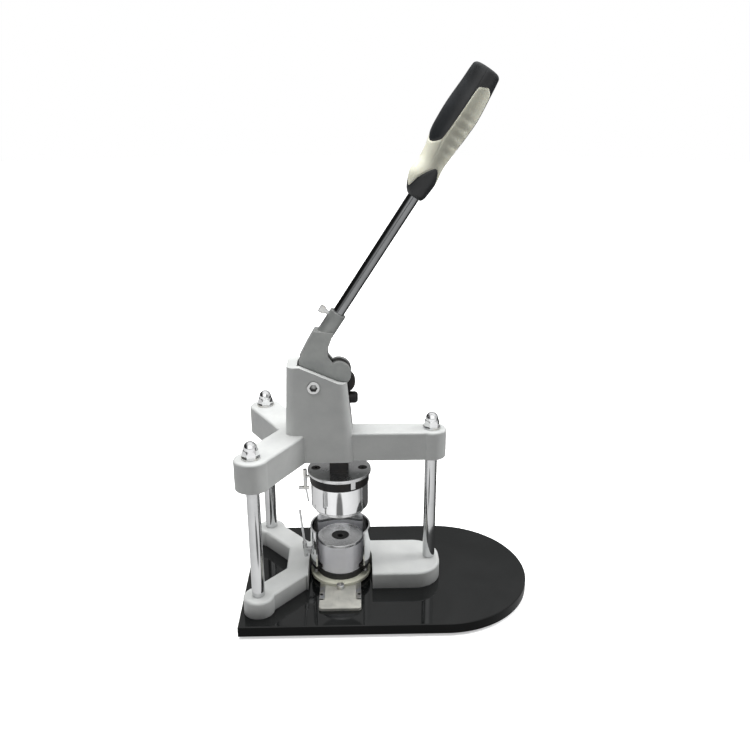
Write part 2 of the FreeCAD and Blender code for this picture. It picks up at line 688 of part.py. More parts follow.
def die_slide():
    """Tongue between the rails, with a rounded pull plate at its front end."""
    floor = BOARD_TOP + 0.15
    plate_back = SLIDE_FRONT + PULL_DEPTH
    tongue_back = RAIL_BACK + 0.1
    tongue = box(-TONGUE_HALF, TONGUE_HALF, SLIDE_FRONT + 2, tongue_back, floor, SEAT_BASE)
    feet = box(-TONGUE_FOOT_HALF, TONGUE_FOOT_HALF, SLIDE_FRONT + 2, tongue_back, floor, TONGUE_FOOT_TOP)
    plate = box(-RAIL_HALF, RAIL_HALF, SLIDE_FRONT, plate_back, floor, PULL_TOP)
    front = [e for e in plate.Edges if e.BoundBox.ZLength > 3 and e.BoundBox.YMax < SLIDE_FRONT + 1]
    plate = plate.makeFillet(3.5, front)
    plate = plate.makeFillet(1.0, edges_at(plate, PULL_TOP))
    body = join([tongue, feet, plate])
    body = body.cut(cyl(2.0, floor - 1, SEAT_BASE + 1, 0, LOCK_SCREW_Y))
    body = body.cut(cyl(THREAD_R, floor - 1, SEAT_BASE + 1))
    return body.cut(cyl(7.0, floor - 1, floor + 1.1))


def die_seat_disc():
    """Seat plate of the lower die, notched at the front for its lock screw."""
    body = cyl(SEAT_R, SEAT_BASE, SEAT_TOP)
    body = body.makeFillet(0.9, edges_at(body, SEAT_TOP))
    body = body.cut(cyl(THREAD_R, SEAT_BASE - 1, SEAT_TOP + 1))
    return body.cut(cyl(LOCK_SCREW_R + 0.15, SEAT_BASE - 1, SEAT_TOP + 1, 0, LOCK_SCREW_Y))


def seat_lock_screw():
    """Cap screw in the seat's notch; it keeps the seat from turning."""
    top = SEAT_TOP + 0.5
    head = cyl(LOCK_SCREW_R, SEAT_BASE + 0.05, top, 0, LOCK_SCREW_Y)
    head = head.makeFillet(0.8, edges_at(head, top))
    stem = cyl(2.0, BOARD_TOP + 0.3, SEAT_BASE + 1, 0, LOCK_SCREW_Y)
    mouth = hexagon(3.0, Vector(0, LOCK_SCREW_Y, top - 1.6), UP, 3)
    return join([stem, head]).cut(mouth)


def seat_bolt():
    """Low-headed bolt that clamps tongue, seat disc and pedestal together."""
    floor = BOARD_TOP + 0.2
    head = cyl(6.8, floor, floor + 1.0)
    shank = cyl(THREAD_R, floor + 0.5, SEAT_TOP + 18)
    return join([head, shank])


def bumper_ring():
    """Black rubber ring round the pedestal's foot."""
    ring = tube(BUMPER_R, PEDESTAL_FOOT_R + 0.05, SEAT_TOP, BUMPER_TOP)
    return ring.makeFillet(0.6, [e for e in edges_at(ring, BUMPER_TOP) if e.BoundBox.XMax > BUMPER_R - 0.1])


def pedestal():
    post = cyl(PEDESTAL_R, BUMPER_TOP + 0.05, PEDESTAL_TOP)
    post = post.makeChamfer(0.5, edges_at(post, PEDESTAL_TOP))
    body = join([post, cyl(PEDESTAL_FOOT_R, SEAT_TOP, BUMPER_TOP + 1)])
    body = body.cut(cyl(THREAD_R, SEAT_TOP - 1, SEAT_TOP + 18))
    return body.cut(cyl(PLUG_R, PEDESTAL_TOP - 8, PEDESTAL_TOP + 1))


def pedestal_cap():
    """Steel top ring with a dished face and a raised rim."""
    body = tube(PEDESTAL_R, PLUG_R, PEDESTAL_TOP, CAP_TOP)
    body = body.cut(cyl(PEDESTAL_R - 2.0, CAP_TOP - 0.8, CAP_TOP + 1))
    top = [e for e in edges_at(body, CAP_TOP) if e.BoundBox.XMax > PEDESTAL_R - 0.1]
    return body.makeFillet(0.7, top)


def pedestal_plug():
    body = cyl(PLUG_R - 0.05, PEDESTAL_TOP - 8, CAP_TOP - 1.6)
    return body.cut(cyl(3.0, CAP_TOP - 6, CAP_TOP + 1))


def wedge(half_angle, z0, z1):
    """Upright wedge that opens towards the operator."""
    reach = 60.0
    x = reach * math.sin(math.radians(half_angle))
    y = -reach * math.cos(math.radians(half_angle))
    return prism([(0, 0), (-x, y), (-x, y - reach), (x, y - reach), (x, y)], z0, z1)


def skirt_ring():
    """Dark open guide ring that carries the skirt; it floats on the pedestal."""
    ring = tube(SKIRT_R, PEDESTAL_R + 0.15, RING_BASE, RING_TOP)
    ring = ring.makeFillet(0.8, [e for e in edges_at(ring, RING_BASE) if e.BoundBox.XMax > SKIRT_R - 0.1])
    return ring.cut(wedge(WINDOW_HALF_ANGLE, RING_BASE - 1, RING_TOP + 1))


def skirt():
    """Plated sleeve with an open front."""
    wall = tube(SKIRT_R, SKIRT_BORE_R, RING_TOP, SKIRT_TOP)
    wall = wall.makeFillet(0.5, edges_at(wall, SKIRT_TOP))
    return wall.cut(wedge(WINDOW_HALF_ANGLE, RING_TOP - 1, SKIRT_TOP + 1))


def skirt_springs():
    """Three small coils between the seat disc and the guide ring."""
    mean_r = 1.9
    wire_r = 0.35
    turns = 4
    height = RING_BASE - SEAT_TOP - 2 * wire_r - 0.1
    path = Part.makeHelix(height / turns, height, mean_r)
    profile = Part.Wire(Part.Circle(Vector(mean_r, 0, 0), BACK, wire_r).toShape())
    coil = Part.Wire(path).makePipeShell([profile], True, True)
    coils = []
    for angle in SPRING_ANGLES:
        a = math.radians(angle)
        place = Vector(SPRING_CIRCLE_R * math.cos(a), SPRING_CIRCLE_R * math.sin(a), SEAT_TOP + wire_r + 0.05)
        copy = coil.copy()
        copy.translate(place)
        coils.append(copy)
    return Part.makeCompound(coils)


def trip_rod():
    """Thin feeler rod on a lug at the left of the skirt."""
    foot = Vector(-34.0, -6.6, 36.0)
    knee = Vector(-35.4, -6.6, 52.0)
    tip = Vector(-39.0, -6.6, 87.0)
    lug = box(-36.0, -28.0, -8.8, -4.4, 40.0, 45.0).cut(cyl(SKIRT_R, 30, 60))
    return join([bar(2.1, foot, knee), bar(1.1, knee.sub(UP), tip), lug])


# ---------------------------------------------------------------- export

def build():
    core, upper_skin, lower_skin = grip_parts()
    return {
        "base_board": base_board(),
        "rubber_feet": rubber_feet(),
        "base_casting": base_casting(),
        "post_bolts": post_bolts(),
        "post_right": post(POSTS["right"]),
        "post_left_front": post(POSTS["left_front"]),
        "post_left_rear": post(POSTS["left_rear"]),
        "head_casting": head_casting(),
        "post_washers": post_washers(),
        "acorn_nuts": acorn_nuts(),
        "pivot_pin": pivot_pin(),
        "pivot_circlip": pivot_circlip(),
        "lever_hub": lever_hub(),
        "hub_bushes": hub_bushes(),
        "crank_pin": crank_pin(),
        "crank_roller": crank_roller(),
        "lever_rod": lever_rod(),
        "lever_thumbscrew": lever_thumbscrew(),
        "grip_core": core,
        "grip_upper_skin": upper_skin,
        "grip_lower_skin": lower_skin,
        "ram": ram(),
        "ram_yoke": ram_yoke(),
        "yoke_cross_pin": yoke_cross_pin(),
        "stop_screw": stop_screw(),
        "upper_flange": upper_flange(),
        "flange_screws": flange_screws(),
        "selector_collar": selector_collar(),
        "selector_pin": selector_pin(),
        "upper_cup": upper_cup(),
        "cup_gib": cup_gib(),
        "collar_stop": collar_stop(),
        "upper_punch": upper_punch(),
        "die_bolt": die_bolt(),
        "slide_rails": slide_rails(),
        "rail_screws": rail_screws(),
        "die_slide": die_slide(),
        "die_seat_disc": die_seat_disc(),
        "seat_lock_screw": seat_lock_screw(),
        "seat_bolt": seat_bolt(),
        "bumper_ring": bumper_ring(),
        "pedestal": pedestal(),
        "pedestal_cap": pedestal_cap(),
        "pedestal_plug": pedestal_plug(),
        "skirt_ring": skirt_ring(),
        "skirt": skirt(),
        "skirt_springs": skirt_springs(),
        "trip_rod": trip_rod(),
    }


os.makedirs("parts", exist_ok=True)
for name, shape in build().items():
    shape.exportStep("parts/" + name + ".step")
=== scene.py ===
"""Looks of the button badge maker: finishes for the CAD parts, a moulded grip, and the studio."""

import json
import math

import bmesh
import bpy
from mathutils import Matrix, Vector


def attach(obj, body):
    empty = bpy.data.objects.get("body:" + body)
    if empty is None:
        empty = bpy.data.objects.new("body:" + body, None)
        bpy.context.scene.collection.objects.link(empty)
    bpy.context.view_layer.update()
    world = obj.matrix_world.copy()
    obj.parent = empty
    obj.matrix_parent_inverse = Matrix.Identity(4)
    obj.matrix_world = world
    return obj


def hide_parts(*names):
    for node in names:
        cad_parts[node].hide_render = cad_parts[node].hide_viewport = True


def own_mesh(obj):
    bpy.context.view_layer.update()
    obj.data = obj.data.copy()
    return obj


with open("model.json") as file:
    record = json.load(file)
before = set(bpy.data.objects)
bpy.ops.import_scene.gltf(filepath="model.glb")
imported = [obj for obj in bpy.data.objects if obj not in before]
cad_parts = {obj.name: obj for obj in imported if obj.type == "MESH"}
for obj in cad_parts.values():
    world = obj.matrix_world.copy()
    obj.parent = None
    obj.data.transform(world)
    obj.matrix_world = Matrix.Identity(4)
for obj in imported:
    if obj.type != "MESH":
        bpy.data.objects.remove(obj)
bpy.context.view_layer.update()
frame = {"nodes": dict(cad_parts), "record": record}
NODES = frame["nodes"]
MM = 0.001
BEVEL_SAMPLES = 4


# ---------------------------------------------------------------- node graphs

class Graph:
    """A node tree with short ways to add nodes. Pattern sizes are in features per metre."""

    def __init__(self, tree, coords="Object"):
        self.tree = tree
        self.coords = self.add("ShaderNodeTexCoord").outputs[coords]

    def add(self, kind, inputs=None, **settings):
        """A new node; an input is a plain value or another node's output."""
        node = self.tree.nodes.new(kind)
        for key, value in settings.items():
            setattr(node, key, value)
        for key, value in (inputs or {}).items():
            self.feed(node.inputs[key], value)
        return node

    def feed(self, socket, value):
        if isinstance(value, bpy.types.NodeSocket):
            self.tree.links.new(value, socket)
        else:
            socket.default_value = value

    def stretched(self, scale, turn=(0, 0, 0)):
        """Coordinates scaled along each axis, for grain that runs one way."""
        return self.add("ShaderNodeMapping", {"Vector": self.coords, "Scale": scale,
                                              "Rotation": turn}).outputs["Vector"]

    def noise(self, scale, detail=4.0, roughness=0.55, vector=None, distortion=0.0):
        """Soft noise, in the given coordinates or in the plain ones."""
        inputs = {"Vector": vector or self.coords, "Scale": scale, "Detail": detail,
                  "Roughness": roughness, "Distortion": distortion}
        return self.add("ShaderNodeTexNoise", inputs).outputs["Fac"]

    def cells(self, scale):
        """Distance to the middle of the nearest of many scattered cells."""
        inputs = {"Vector": self.coords, "Scale": scale}
        return self.add("ShaderNodeTexVoronoi", inputs).outputs["Distance"]

    def spread(self, value, low, high, out_low=0.0, out_high=1.0):
        """Maps a value from one range to another, clamped."""
        inputs = {"Value": value, "From Min": low, "From Max": high,
                  "To Min": out_low, "To Max": out_high}
        return self.add("ShaderNodeMapRange", inputs).outputs["Result"]

    def math(self, operation, first, second=0.0):
        node = self.add("ShaderNodeMath", operation=operation)
        self.feed(node.inputs[0], first)
        self.feed(node.inputs[1], second)
        return node.outputs[0]

    def ramp(self, value, stops):
        """Grey level along a list of (place, level) stops."""
        node = self.add("ShaderNodeValToRGB", {"Fac": value})
        bar = node.color_ramp.elements
        while len(bar) < len(stops):
            bar.new(0.5)
        for element, (place, level) in zip(bar, stops):
            element.position = place
            element.color = (level, level, level, 1.0)
        return node.outputs["Color"]

    def split(self):
        """The three coordinates as separate values."""
        return self.add("ShaderNodeSeparateXYZ", {"Vector": self.coords}).outputs

    def from_axis(self):
        """Distance from the press axis."""
        x, y, _ = self.split()
        squares = self.math("ADD", self.math("POWER", x, 2.0), self.math("POWER", y, 2.0))
        return self.math("SQRT", squares)

    def upward(self):
        """One on faces that look up, zero on upright faces."""
        normal = self.add("ShaderNodeNewGeometry").outputs["Normal"]
        return self.add("ShaderNodeSeparateXYZ", {"Vector": normal}).outputs["Z"]

    def blend(self, amount, first, second):
        """Colour between two colours."""
        node = self.add("ShaderNodeMix", data_type="RGBA")
        self.feed(node.inputs["Factor"], amount)
        self.feed(node.inputs[6], rgba(first))
        self.feed(node.inputs[7], rgba(second))
        return node.outputs[2]

    def edges(self, radius):
        """A mask that is one on sharp edges and zero on flat faces."""
        soft = self.add("ShaderNodeBevel", {"Radius": radius}, samples=BEVEL_SAMPLES).outputs["Normal"]
        hard = self.add("ShaderNodeNewGeometry").outputs["Normal"]
        dot = self.add("ShaderNodeVectorMath", operation="DOT_PRODUCT")
        self.feed(dot.inputs[0], soft)
        self.feed(dot.inputs[1], hard)
        return self.spread(dot.outputs["Value"], 0.995, 0.90)


class Finish(Graph):
    """A surface material on one Principled shader."""

    def __init__(self, name):
        self.material = bpy.data.materials.new(name)
        self.material.use_nodes = True
        super().__init__(self.material.node_tree)
        self.shader = self.tree.nodes["Principled BSDF"]

    def bumps(self, layers, round_edge=0.0):
        """Stacks height layers, each a (height, depth in metres) pair, over softened edges."""
        normal = None
        if round_edge:
            bevel = self.add("ShaderNodeBevel", {"Radius": round_edge}, samples=BEVEL_SAMPLES)
            normal = bevel.outputs["Normal"]
        for height, depth in layers:
            inputs = {"Height": height, "Distance": depth, "Strength": 1.0}
            if normal:
                inputs["Normal"] = normal
            normal = self.add("ShaderNodeBump", inputs).outputs["Normal"]
        self.feed(self.shader.inputs["Normal"], normal)

    def finish(self, **values):
        """Sets the shader's inputs, named with underscores for spaces."""
        for key, value in values.items():
            name = key.replace("_", " ")
            if isinstance(value, tuple) and "Color" in name:
                value = rgba(value)
            self.feed(self.shader.inputs[name], value)
        return self.material


def rgba(colour):
    """A colour with full opacity; a node socket is passed through."""
    if isinstance(colour, bpy.types.NodeSocket):
        return colour
    return (*colour, 1.0)


# ---------------------------------------------------------------- finishes

def cast_silver():
    """Silver paint on a sand casting: orange peel, mottling, rubbed edges, painted shade on upright
    faces near the board.
    """
    g = Finish("cast_silver")
    mottle = g.noise(38, 5, 0.6)
    peel = g.noise(900, 3, 0.5)
    grit = g.cells(1500)
    swell = g.noise(120, 2, 0.5)
    worn = g.math("MULTIPLY", g.edges(1.0 * MM), g.spread(g.noise(160, 4), 0.45, 0.62))
    paint = g.blend(g.spread(mottle, 0.35, 0.65), (0.47, 0.48, 0.475), (0.53, 0.54, 0.53))
    paint = g.blend(g.spread(grit, 0.0, 0.35, 0.35, 0.0), paint, (0.64, 0.65, 0.64))
    colour = g.blend(worn, paint, (0.66, 0.66, 0.65))
    # Painted shade: upright faces get darker towards the board, below 27 mm, as if they reflected the
    # black board
    low = g.spread(g.split()["Z"], 12 * MM, 27 * MM, 0.62, 0.0)
    dark_mask = g.math("MULTIPLY", low, g.spread(g.upward(), 0.1, 0.7, 1.0, 0.0))
    colour = g.blend(dark_mask, colour, (0.10, 0.10, 0.105))
    g.bumps([(swell, 0.12 * MM), (peel, 0.06 * MM), (grit, 0.02 * MM)], 0.8 * MM)
    rough = g.spread(g.noise(300, 3), 0.3, 0.7, 0.40, 0.52)
    return g.finish(Base_Color=colour, Metallic=0.15, Roughness=rough, Specular_IOR_Level=0.4)


def cast_hub():
    """Bare tumbled aluminium casting, a little darker than the paint."""
    g = Finish("cast_hub")
    mottle = g.noise(60, 5, 0.6)
    grain = g.noise(1300, 3, 0.6)
    pits = g.cells(420)
    worn = g.math("MULTIPLY", g.edges(0.9 * MM), g.spread(g.noise(220, 4), 0.40, 0.6))
    metal = g.blend(g.spread(mottle, 0.35, 0.65), (0.27, 0.28, 0.275), (0.34, 0.35, 0.34))
    metal = g.blend(g.spread(pits, 0.0, 0.12, 0.5, 0.0), metal, (0.22, 0.22, 0.21))
    colour = g.blend(worn, metal, (0.56, 0.56, 0.55))
    g.bumps([(g.noise(160, 2), 0.1 * MM), (grain, 0.06 * MM), (g.spread(pits, 0.0, 0.12), 0.04 * MM)],
            0.7 * MM)
    rough = g.spread(g.noise(260, 3), 0.3, 0.7, 0.36, 0.5)
    return g.finish(Base_Color=colour, Metallic=0.55, Roughness=rough)


def chrome():
    """Bright plating with faint haze, wipe marks and hairline scratches."""
    g = Finish("chrome")
    haze = g.noise(70, 4, 0.6)
    wipes = g.noise(90, 4, 0.6, g.stretched((1.0, 1.0, 9.0)))
    hair = g.noise(420, 5, 0.7, g.stretched((9.0, 9.0, 0.6)))
    scratch = g.spread(hair, 0.62, 0.70)
    tint = g.blend(g.spread(haze, 0.35, 0.7), (0.86, 0.865, 0.87), (0.80, 0.805, 0.815))
    rough = g.math("ADD", g.spread(wipes, 0.35, 0.75, 0.035, 0.10), g.math("MULTIPLY", scratch, 0.10))
    g.bumps([(g.noise(55, 2), 0.02 * MM), (scratch, -0.004 * MM)], 0.35 * MM)
    return g.finish(Base_Color=tint, Metallic=1.0, Roughness=rough)


def turned(g, pitch):
    """Fine rings about the press axis, stronger in some places than in others."""
    rings = g.math("SINE", g.math("MULTIPLY", g.from_axis(), 2 * math.pi / pitch))
    return g.math("MULTIPLY", rings, g.spread(g.noise(30, 3), 0.3, 0.7, 0.3, 1.0))


def machined_steel():
    """Turned steel with oil haze and bright edges."""
    g = Finish("machined_steel")
    stain = g.noise(60, 4, 0.55)
    colour = g.blend(g.spread(stain, 0.4, 0.75), (0.66, 0.665, 0.67), (0.56, 0.565, 0.57))
    colour = g.blend(g.edges(0.5 * MM), colour, (0.8, 0.8, 0.8))
    g.bumps([(turned(g, 0.5 * MM), 0.0015 * MM), (g.noise(500, 2), 0.003 * MM)], 0.3 * MM)
    return g.finish(Base_Color=colour, Metallic=1.0, Roughness=g.spread(stain, 0.3, 0.8, 0.22, 0.30))


def satin_plate():
    """Pale dull plate on the pedestal: soft sheen, faint turning marks, a few rubs."""
    g = Finish("satin_plate")
    haze = g.noise(50, 4, 0.55)
    rubs = g.spread(g.noise(300, 5, 0.7, g.stretched((8.0, 8.0, 0.5))), 0.62, 0.72)
    colour = g.blend(g.spread(haze, 0.35, 0.7), (0.93, 0.93, 0.96), (0.86, 0.865, 0.90))
    colour = g.blend(g.math("MULTIPLY", rubs, 0.4), colour, (0.60, 0.60, 0.62))
    mark_pitch = 0.4 * MM
    marks = g.math("SINE", g.math("MULTIPLY", g.split()["Z"], 2 * math.pi / mark_pitch))
    g.bumps([(marks, 0.001 * MM), (rubs, -0.004 * MM)], 0.3 * MM)
    return g.finish(Base_Color=colour, Metallic=0.12, Roughness=g.spread(haze, 0.3, 0.8, 0.40, 0.5))


def hairline_plate(name, light, dark, rough):
    """Polished plate with faint haze and hairlines, between two tints."""
    g = Finish(name)
    haze = g.noise(40, 4, 0.5)
    lines = g.noise(700, 3, 0.6, g.stretched((1.0, 0.1, 1.0)))
    colour = g.blend(g.spread(haze, 0.35, 0.7), light, dark)
    g.bumps([(lines, 0.0012 * MM)], 0.2 * MM)
    hazy = g.spread(haze, 0.3, 0.8, rough, rough + 0.07)
    return g.finish(Base_Color=colour, Metallic=1.0, Roughness=hazy)


def dark_plate():
    """Black nickel on the lever rod."""
    return hairline_plate("dark_plate", (0.27, 0.275, 0.28), (0.21, 0.215, 0.22), 0.10)


def post_plate():
    """Handled chrome on the posts, a little greyer than the dies."""
    return hairline_plate("post_plate", (0.62, 0.625, 0.63), (0.54, 0.545, 0.55), 0.07)


def socket_steel():
    """Steel screw head with painted shade in its socket."""
    g = Finish("socket_steel")
    hollow = g.add("ShaderNodeAmbientOcclusion", {"Distance": 4 * MM}, samples=8).outputs["AO"]
    uneven = g.spread(g.noise(400, 3), 0.2, 0.5, 0.8, 1.0)
    # Painted shade: where ambient occlusion finds a hollow, as in the socket, the colour darkens and
    # the metal sheen drops
    darkening = g.math("MULTIPLY", g.spread(hollow, 0.45, 0.85, 1.0, 0.0), uneven)
    colour = g.blend(darkening, (0.60, 0.605, 0.60), (0.05, 0.05, 0.048))
    g.bumps([(g.noise(500, 3), 0.004 * MM)], 0.3 * MM)
    return g.finish(Base_Color=colour, Metallic=g.spread(darkening, 0.0, 1.0, 1.0, 0.2), Roughness=0.32)


def worn_paint():
    """Cream paint on the die slide, greyed by handling and rubbed through to metal at the edges."""
    g = Finish("worn_paint")
    darkening = g.noise(70, 5, 0.6)
    worn = g.math("MULTIPLY", g.edges(0.8 * MM), g.spread(g.noise(220, 4), 0.4, 0.6))
    rubs = g.spread(g.noise(260, 5, 0.7, g.stretched((1.0, 0.2, 1.0))), 0.58, 0.7)
    colour = g.blend(g.spread(darkening, 0.35, 0.65), (0.44, 0.435, 0.395), (0.32, 0.32, 0.295))
    colour = g.blend(g.math("MULTIPLY", rubs, 0.5), colour, (0.22, 0.22, 0.21))
    colour = g.blend(worn, colour, (0.62, 0.62, 0.60))
    g.bumps([(darkening, 0.03 * MM), (g.noise(700, 3), 0.01 * MM), (rubs, -0.01 * MM)], 0.4 * MM)
    return g.finish(Base_Color=colour, Metallic=0.2, Roughness=g.spread(darkening, 0.3, 0.7, 0.34, 0.5))


def zinc():
    """Zinc plate: small crystals and a faint blue-yellow tint."""
    g = Finish("zinc")
    crystals = g.cells(900)
    tint = g.blend(g.spread(g.noise(120, 3), 0.4, 0.6), (0.66, 0.68, 0.71), (0.70, 0.68, 0.62))
    colour = g.blend(g.spread(crystals, 0.1, 0.6, 0.0, 0.3), tint, (0.46, 0.47, 0.48))
    colour = g.blend(g.edges(0.4 * MM), colour, (0.84, 0.84, 0.84))
    g.bumps([(crystals, 0.01 * MM), (g.noise(600, 3), 0.015 * MM)], 0.3 * MM)
    return g.finish(Base_Color=colour, Metallic=1.0, Roughness=g.spread(crystals, 0.0, 0.6, 0.24, 0.4))


def black_steel():
    """Black oxide: near black with brown patches, bright where handled."""
    g = Finish("black_steel")
    patches = g.noise(110, 5, 0.6)
    worn = g.math("MULTIPLY", g.edges(0.45 * MM), g.spread(g.noise(350, 4), 0.5, 0.66))
    oxide = g.blend(g.spread(patches, 0.4, 0.7), (0.012, 0.012, 0.013), (0.026, 0.022, 0.019))
    colour = g.blend(worn, oxide, (0.20, 0.20, 0.20))
    g.bumps([(g.noise(900, 4), 0.02 * MM), (g.noise(140, 2), 0.02 * MM)], 0.35 * MM)
    rough = g.spread(g.noise(240, 4), 0.3, 0.7, 0.30, 0.48)
    return g.finish(Base_Color=colour, Metallic=0.6, Roughness=rough)


def bronze():
    """Sintered bronze with open pores."""
    g = Finish("bronze")
    pores = g.cells(2200)
    colour = g.blend(g.spread(g.noise(200, 4), 0.35, 0.65), (0.50, 0.31, 0.12), (0.62, 0.42, 0.20))
    colour = g.blend(g.spread(pores, 0.0, 0.2, 0.6, 0.0), colour, (0.16, 0.09, 0.04))
    g.bumps([(pores, 0.01 * MM)], 0.2 * MM)
    return g.finish(Base_Color=colour, Metallic=1.0, Roughness=g.spread(pores, 0.0, 0.4, 0.5, 0.3))


def board_gloss():
    """Deep black gloss laminate with dust, fine swirls and a few finger marks; its edge is dull."""
    g = Finish("board_gloss")
    dust = g.spread(g.cells(620), 0.0, 0.05, 1.0, 0.0)
    dust = g.math("MULTIPLY", dust, g.spread(g.noise(22, 3), 0.48, 0.6))
    smear = g.spread(g.noise(14, 5, 0.6, distortion=0.6), 0.42, 0.68)
    swirl = g.spread(g.noise(260, 6, 0.75, g.stretched((1.0, 0.15, 1.0), (0, 0, 0.5))), 0.6, 0.68)
    colour = g.blend(smear, (0.004, 0.0045, 0.0045), (0.007, 0.0075, 0.0075))
    colour = g.blend(g.math("MULTIPLY", dust, 0.25), colour, (0.3, 0.3, 0.29))
    rough = g.math("ADD", g.spread(smear, 0.0, 1.0, 0.03, 0.07), g.math("MULTIPLY", swirl, 0.04))
    g.bumps([(g.noise(24, 2), 0.015 * MM), (g.noise(500, 2), 0.001 * MM), (dust, 0.01 * MM)], 0.7 * MM)
    gloss = g.spread(g.upward(), 0.3, 0.9, 0.08, 0.36)
    return g.finish(Base_Color=colour, Roughness=rough, Specular_IOR_Level=gloss)


def rubber():
    """Matt black rubber with a fine grain."""
    g = Finish("rubber")
    grain = g.noise(1500, 4, 0.6)
    colour = g.blend(g.spread(g.noise(90, 4), 0.35, 0.65), (0.014, 0.014, 0.014), (0.026, 0.026, 0.025))
    g.bumps([(grain, 0.03 * MM), (g.noise(240, 3), 0.02 * MM)], 0.3 * MM)
    return g.finish(Base_Color=colour, Roughness=g.spread(grain, 0.3, 0.7, 0.55, 0.72))


def cream_paint():
    """Cream enamel with a light stipple, grime in places and chipped corners."""
    g = Finish("cream_paint")
    dark_mask = g.spread(g.noise(70, 5, 0.65), 0.5, 0.75)
    chips = g.math("MULTIPLY", g.edges(0.7 * MM), g.spread(g.noise(300, 4), 0.56, 0.62))
    colour = g.blend(g.math("MULTIPLY", dark_mask, 0.45), (0.60, 0.60, 0.50), (0.40, 0.39, 0.31))
    colour = g.blend(chips, colour, (0.26, 0.26, 0.25))
    g.bumps([(g.noise(800, 3), 0.03 * MM), (g.noise(110, 2), 0.04 * MM)], 0.6 * MM)
    return g.finish(Base_Color=colour, Roughness=g.spread(dark_mask, 0.0, 1.0, 0.32, 0.5))


def grip_cream():
    """Moulded cream plastic with a fine spark texture and slight handling grime."""
    g = Finish("grip_cream")
    dark_mask = g.spread(g.noise(60, 5, 0.6), 0.48, 0.75)
    spark = g.noise(1600, 3, 0.6)
    colour = g.blend(g.math("MULTIPLY", dark_mask, 0.35), (0.72, 0.715, 0.60), (0.50, 0.49, 0.38))
    g.bumps([(spark, 0.025 * MM), (g.noise(200, 2), 0.03 * MM)])
    return g.finish(Base_Color=colour, Roughness=g.spread(spark, 0.3, 0.7, 0.30, 0.42),
                    Subsurface_Weight=0.08, Subsurface_Radius=(0.004, 0.003, 0.002))


def grip_black():
    """Soft-touch overmould: fine leather-like stipple, semi-gloss where rubbed."""
    g = Finish("grip_black")
    stipple = g.cells(1300)
    rubbed = g.spread(g.noise(45, 4), 0.42, 0.66)
    colour = g.blend(rubbed, (0.011, 0.012, 0.013), (0.020, 0.022, 0.024))
    g.bumps([(stipple, 0.03 * MM), (g.noise(260, 3), 0.02 * MM)])
    rough = g.spread(rubbed, 0.0, 1.0, 0.42, 0.30)
    return g.finish(Base_Color=colour, Roughness=rough, Specular_IOR_Level=0.5)


MAKERS = (cast_silver, cast_hub, chrome, zinc, machined_steel, satin_plate, dark_plate, post_plate,
          socket_steel, worn_paint, black_steel, bronze, board_gloss, rubber, cream_paint,
          grip_cream, grip_black)
FINISHES = {make.__name__: make() for make in MAKERS}

# Pieces whose surface differs from the rest of their material
OWN_FINISH = {"pedestal": "satin_plate", "lever_rod": "dark_plate", "pivot_pin": "socket_steel",
              "die_slide": "worn_paint", "post_right": "post_plate", "post_left_front": "post_plate",
              "post_left_rear": "post_plate"}


def paint_cad_nodes():
    """Gives each CAD node its own finish, or else that of its material slot."""
    for part in frame["record"]["subparts"]:
        name = part["node"]
        finish = OWN_FINISH.get(name, part["material_slot"])
        slots = NODES[name].data.materials
        slots.clear()
        slots.append(FINISHES[finish])


# ---------------------------------------------------------------- grip

ROD_ANGLE = math.radians(57.1)
ROD_FOOT = Vector((1.5, 0.0, 284.0)) * MM
ALONG = Vector((math.cos(ROD_ANGLE), 0.0, math.sin(ROD_ANGLE)))
LEFT = Vector((-ALONG.z, 0.0, ALONG.x))
NEAR = Vector((0.0, -1.0, 0.0))
# Lengths along the rod and the grip, in millimetres
GRIP_START = 122.0
GRIP_LENGTH = 118.0
# Angle from the near side towards the left, at which both dark tongues have their middle
TONGUE_TURN = 58.0
# The same for the dips of the dark nose
NOSE_TURN = 62.0
# Half the width of a tongue, in degrees, and how far its sides run up the grip
TONGUE_HALF = 51.0
TONGUE_SIDE = 48.0
MEAN_RADIUS = 14.0
RIB_PITCH = 8.0
RIB_DEPTH = 1.2
SKIN = 2.4
END_ROUND = 2.6
END_ROWS = 44
NOSE_ROWS = 22
CORE_ROWS = 60
# Distance along the grip, radius, and set-over to the left of the rod, in millimetres
STATIONS = [(0.0, 7.0, -0.3), (3.0, 9.4, 0.4), (9.0, 11.4, 1.6), (18.0, 13.3, 2.9),
            (32.0, 11.6, 3.0), (44.0, 12.9, 3.8), (54.0, 14.6, 4.8), (64.0, 15.5, 4.9),
            (80.0, 15.9, 4.9), (101.0, 14.3, 5.4), (114.5, 13.2, 6.0), (GRIP_LENGTH, 12.2, 6.1)]


def spline(stations, s, column):
    """Smooth curve through one column of the stations."""
    last = len(stations) - 1
    i = 0
    while i < last - 1 and s > stations[i + 1][0]:
        i += 1
    x0, x1 = stations[i][0], stations[i + 1][0]
    y0, y1 = stations[i][column], stations[i + 1][column]

    def slope(k):
        if k == 0 or k == last:
            a, b = (0, 1) if k == 0 else (last - 1, last)
        else:
            a, b = k - 1, k + 1
        return (stations[b][column] - stations[a][column]) / (stations[b][0] - stations[a][0])

    h = x1 - x0
    t = min(max((s - x0) / h, 0.0), 1.0)
    m0, m1 = slope(i) * h, slope(i + 1) * h
    t2, t3 = t * t, t * t * t
    return ((2 * t3 - 3 * t2 + 1) * y0 + (t3 - 2 * t2 + t) * m0
            + (3 * t2 - 2 * t3) * y1 + (t3 - t2) * m1)


def from_middle(turn, middle):
    """Angle in degrees from the nearer of two opposite middles, between 0 and 90."""
    return math.degrees(math.acos(min(abs(math.cos(turn - math.radians(middle))), 1.0)))


def lower_edge(turn):
    """Upper edge of the dark nose: two low dips and two peaks."""
    return 6.0 + 23.5 * math.sin(turn - math.radians(NOSE_TURN)) ** 2


